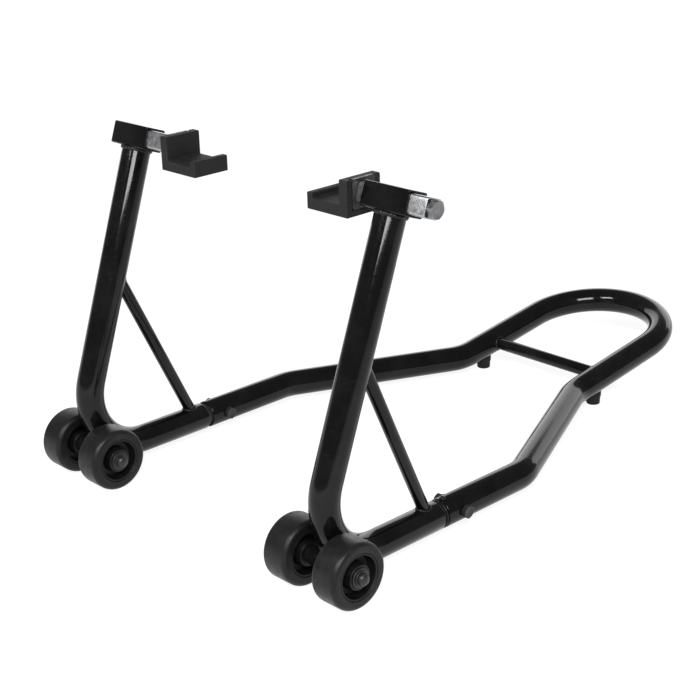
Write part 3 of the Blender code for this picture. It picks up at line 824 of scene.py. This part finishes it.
def make_wheel_pieces(side, row, outward):
    """Tyre, hub and bush of one wheel, and the washer and cap beside it."""
    tag = f"{side}_{row}"
    low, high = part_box("tyre_" + tag)
    centre = (low + high) / 2
    half = (high.x - low.x) / 2
    pieces = (
        ("tyre", tyre_outline(half, (high.z - low.z) / 2), 128, TYRE, "wheel_rubber"),
        ("hub", hub_outline(half), 128, HUB, "wheel_plastic"),
        ("bush", bush_outline(half), 96, BLACK_STEEL, "black_steel"),
    )
    for kind, outline, steps, material, slot in pieces:
        piece = lathe(f"{kind}_fine_{tag}", outline, steps=steps)
        stand_on(piece, centre, X_AXIS * outward)
        finish_piece(piece, material, "wheel_" + tag, slot, f"{kind}_{tag}")
    make_washer("axle_washer_" + tag)
    make_cap(tag, outward)


def tyre_outline(half, radius):
    inner = HUB_RADIUS + GAP
    outline = [(inner, half), (radius, half), (radius, -half), (inner, -half)]
    return fillet(outline, [TYRE_INNER_EDGE, TYRE_SHOULDER, TYRE_SHOULDER, TYRE_INNER_EDGE], steps=10)


def hub_outline(half):
    """A raised middle, a thin web and a rim, the same on both faces."""
    face = half - 0.0006
    upper = [(0.0073, half), (0.0132, half), (0.0140, HUB_WEB), (0.0205, HUB_WEB)]
    upper += [(0.0221, face), (HUB_RADIUS, face)]
    radii = [0.0004, 0.0008, 0.0016, 0.0020, 0.0007, 0.0003]
    return fillet(upper + [(r, -h) for r, h in reversed(upper)], radii + radii[::-1], steps=6)


def bush_outline(half):
    """A sleeve through the hub with a flange outside it."""
    flange_low = half + GAP
    flange_high = flange_low + FLANGE_THICKNESS
    bore = BOLT_RADIUS + THREAD_PLAY
    outline = [(bore, flange_high), (FLANGE_RADIUS, flange_high), (FLANGE_RADIUS, flange_low)]
    outline += [(BUSH_RADIUS, flange_low), (BUSH_RADIUS, -half), (bore, -half)]
    return fillet(outline, [0.0003, 0.0005, 0.0002, 0.0002, 0.0003, 0.0003], steps=4)


def make_cap(tag, outward):
    """Round cap pressed on the axle's end: a short skirt, then a dome."""
    node = "axle_cap_" + tag
    low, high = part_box(node)
    base = Vector((low.x if outward > 0 else high.x, (low.y + high.y) / 2, (low.z + high.z) / 2))
    height = high.x - low.x
    radius = (high.z - low.z) / 2
    bore = BOLT_RADIUS + WASHER_PLAY
    edge = 0.0002
    steps = 12
    outline = [(bore, 0.0), (radius - edge, 0.0), (radius, edge), (radius, CAP_SKIRT)]
    for i in range(1, steps + 1):
        angle = math.pi / 2 * i / steps
        outline.append((radius * math.cos(angle), CAP_SKIRT + (height - CAP_SKIRT) * math.sin(angle)))
    outline += [(0.0, 0.6 * height), (bore, 0.6 * height)]
    cap = lathe(node + "_fine", outline, steps=72)
    finish_piece(stand_on(cap, base, X_AXIS * outward), BLACK_STEEL, "frame", "black_steel", node)


# Heads, sliders and rests


def tilted(piece, location, sign=1):
    """Lay a piece's own Z along X, or against it, and turn it with the leaning upright."""
    turn = Matrix.Rotation(-LEAN, 4, "X") @ Matrix.Rotation(sign * math.pi / 2, 4, "Y")
    piece.matrix_world = Matrix.Translation(location) @ turn
    return piece


def make_head(side, sign):
    """Head box with its slider, plug, clamp bolt and rest."""
    low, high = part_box("head_box_" + side)
    box = square_tube("head_box_fine_" + side, BOX_SIZE, BOX_WALL, high.x - low.x, BOX_CORNER)
    finish_piece(tilted(box, HEAD[side]), PAINT, "frame", "black_paint", "head_box_" + side)

    low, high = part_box("slider_" + side)
    centre = (low + high) / 2
    inner_end, outer_end = (low.x, high.x) if sign > 0 else (high.x, low.x)
    slider = square_tube("slider_fine_" + side, SLIDER_SIZE, SLIDER_WALL, high.x - low.x, SLIDER_CORNER)
    finish_piece(tilted(slider, centre), ZINC, "slider_" + side, "zinc_steel", "slider_" + side)
    keep_node("slider_plug_" + side, PLUG_PLASTIC)
    make_clamp_bolt(side, sign, Vector((outer_end + sign * GAP, centre.y, centre.z)))
    make_pad(side, sign, inner_end)


def make_clamp_bolt(side, sign, seat):
    """Bolt whose head sits on the slider's outer end and whose shank reaches the rest."""
    low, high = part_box("clamp_bolt_" + side)
    head_height = (high.x if sign > 0 else -low.x) - abs(seat.x)
    shank = high.x - low.x - head_height
    bolt = hex_bolt("clamp_bolt_fine_" + side, M10_FLATS, head_height, M10_RADIUS, shank)
    finish_piece(tilted(bolt, seat, sign), BOLT_ZINC, "slider_" + side, "zinc_steel", "clamp_bolt_" + side)


def make_pad(side, sign, slider_end):
    """J-section rubber rest with softened edges, cut out behind for its plate and nut."""
    node = "pad_" + side
    low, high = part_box(node)
    outer = low.x if sign < 0 else high.x
    width = high.x - low.x
    top = high.z - low.z
    profile = [(0, 0), (0, top), (PAD_WALL, top), (PAD_WALL, PAD_FLOOR), (width - PAD_LIP, PAD_FLOOR)]
    profile += [(width - PAD_LIP, PAD_LIP_HEIGHT), (width, PAD_LIP_HEIGHT), (width, 0)]
    work = bmesh.new()
    ends = []
    for y in (low.y, high.y):
        ends.append([work.verts.new((outer - sign * x, y, low.z + z)) for x, z in profile])
    for ring in ends:
        work.faces.new(ring)
    for i in range(len(profile)):
        j = (i + 1) % len(profile)
        work.faces.new((ends[0][i], ends[0][j], ends[1][j], ends[1][i]))
    pad = mesh_piece(node + "_fine", work)
    for cutter in pocket_cutters(side, sign, slider_end):
        cut = pad.modifiers.new("pocket", "BOOLEAN")
        cut.operation = "DIFFERENCE"
        cut.solver = "EXACT"
        cut.object = cutter
    edges = pad.modifiers.new("edges", "BEVEL")
    edges.width = PAD_EDGE
    edges.segments = 4
    edges.limit_method = "ANGLE"
    edges.angle_limit = math.radians(50)
    edges.harden_normals = True
    apply_modifiers(pad)
    finish_piece(pad, PAD_RUBBER, "rest_" + side, "black_rubber", node)
    keep_node("pad_plate_" + side, BLACK_STEEL)
    keep_node("pad_nut_" + side, BOLT_ZINC)


def pocket_cutters(side, sign, slider_end):
    """Blocks a little larger than the backing plate and its nut, which run out past the rest's back."""
    past_end = 0.004
    cutters = []
    for node, play in (("pad_plate_" + side, 0.0004), ("pad_nut_" + side, 0.0006)):
        low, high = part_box(node)
        low, high = low - Vector((play,) * 3), high + Vector((play,) * 3)
        if sign > 0:
            high.x = max(high.x, slider_end + past_end)
        else:
            low.x = min(low.x, slider_end - past_end)
        work = bmesh.new()
        bmesh.ops.create_cube(work, size=1.0)
        bmesh.ops.scale(work, vec=high - low, verts=work.verts)
        bmesh.ops.translate(work, vec=(low + high) / 2, verts=work.verts)
        cutters.append(mesh_piece("pocket_cutter", work))
    return cutters


def apply_modifiers(piece):
    """Keep the shape that the modifiers make and remove them and their cutters."""
    bpy.context.view_layer.update()
    graph = bpy.context.evaluated_depsgraph_get()
    mesh = bpy.data.meshes.new_from_object(piece.evaluated_get(graph))
    cutters = [step.object for step in piece.modifiers if step.type == "BOOLEAN"]
    piece.modifiers.clear()
    piece.data = mesh
    for cutter in cutters:
        bpy.data.objects.remove(cutter, do_unlink=True)


make_handle()
make_joint_weld()
for side_name, side_sign in SIDES:
    make_leg(side_name, side_sign)
    make_joint(side_name, side_sign)
    make_foot(side_name)
    make_head(side_name, side_sign)
    keep_node("axle_" + side_name, BLACK_STEEL)
    for wheel_row, wheel_outward in (("outer", side_sign), ("inner", -side_sign)):
        make_wheel_pieces(side_name, wheel_row, wheel_outward)


# Studio

FLOOR_REACH = 30.0
FLOOR_DROP = 0.0002
FLOOR_GREY = 0.24
FLOOR_GLOW = 0.86
SKY_STRENGTH = 0.22
BACKDROP_HEIGHT = 3.5


def make_floor():
    """Plain floor that glows a little, so that it stays white round the stand."""
    work = bmesh.new()
    bmesh.ops.create_grid(work, x_segments=1, y_segments=1, size=FLOOR_REACH)
    floor = mesh_piece("studio_floor", work)
    floor.location.z = -FLOOR_DROP
    finish = Finish("pale_floor", specular=0.0)
    finish.shader.inputs["Base Color"].default_value = (FLOOR_GREY, FLOOR_GREY, FLOOR_GREY, 1.0)
    finish.shader.inputs["Roughness"].default_value = 1.0
    finish.shader.inputs["Emission Color"].default_value = (1.0, 1.0, 1.0, 1.0)
    finish.shader.inputs["Emission Strength"].default_value = FLOOR_GLOW
    floor.data.materials.append(finish.material)


def make_world():
    world = bpy.data.worlds.new("studio")
    world.use_nodes = True
    world.node_tree.nodes["Background"].inputs["Color"].default_value = (1.0, 1.0, 1.0, 1.0)
    world.node_tree.nodes["Background"].inputs["Strength"].default_value = SKY_STRENGTH
    bpy.context.scene.world = world


def toward(azimuth, elevation):
    """Direction at an azimuth counted from +Y towards +X, and an elevation, both in degrees."""
    turn, rise = math.radians(azimuth), math.radians(elevation)
    return Vector((math.sin(turn) * math.cos(rise), math.cos(turn) * math.cos(rise), math.sin(rise)))


def lamp_at(name, location, target, width, height, radiance):
    """Flat lamp facing a target; radiance is how bright its face is."""
    lamp = bpy.data.lights.new(name, "AREA")
    lamp.shape = "RECTANGLE"
    lamp.size = width
    lamp.size_y = height
    lamp.energy = math.pi * width * height * radiance
    back = (location - target).normalized()
    side = Z_AXIS.cross(back).normalized()
    axes = Matrix((side, back.cross(side), back)).transposed()
    piece = bpy.data.objects.new(name, lamp)
    piece.matrix_world = Matrix.Translation(location) @ axes.to_4x4()
    bpy.context.scene.collection.objects.link(piece)


def make_lamps():
    """A white backdrop, and two soft boxes high above the viewer's side."""
    middle = Vector((0.0, 0.0, BACKDROP_HEIGHT / 2))
    lamp_at("backdrop", middle + toward(-43, 0) * 6.0, middle, 14.0, BACKDROP_HEIGHT, 2.0)
    grip = Vector((0.0, -AXLE_Y, 0.06))
    lamp_at("soft_box_right", grip + toward(140, 33) * 3.0, grip, 1.3, 0.9, 24.0)
    lamp_at("soft_box_left", grip + toward(183, 36) * 3.0, grip, 0.9, 0.5, 30.0)


CAMERA_AT = Vector((1.2096, AXLE_Y - 0.9045, 0.7727))
CAMERA_AZIMUTH = math.radians(46.97)
CAMERA_DOWN = math.radians(20.93)
CAMERA_ROLL = math.radians(-1.77)
CAMERA_LENS = 81.13
CAMERA_SENSOR = 36.0


def make_camera():
    data = bpy.data.cameras.new("camera")
    data.lens = CAMERA_LENS
    data.sensor_width = CAMERA_SENSOR
    camera = bpy.data.objects.new("camera", data)
    bpy.context.scene.collection.objects.link(camera)
    turn = Matrix.Rotation(CAMERA_AZIMUTH, 4, "Z")
    turn = turn @ Matrix.Rotation(math.pi / 2 - CAMERA_DOWN, 4, "X")
    turn = turn @ Matrix.Rotation(CAMERA_ROLL, 4, "Z")
    camera.matrix_world = Matrix.Translation(CAMERA_AT) @ turn
    bpy.context.scene.camera = camera


make_floor()
make_world()
make_lamps()
make_camera()
bpy.context.scene.view_settings.view_transform = "Standard"
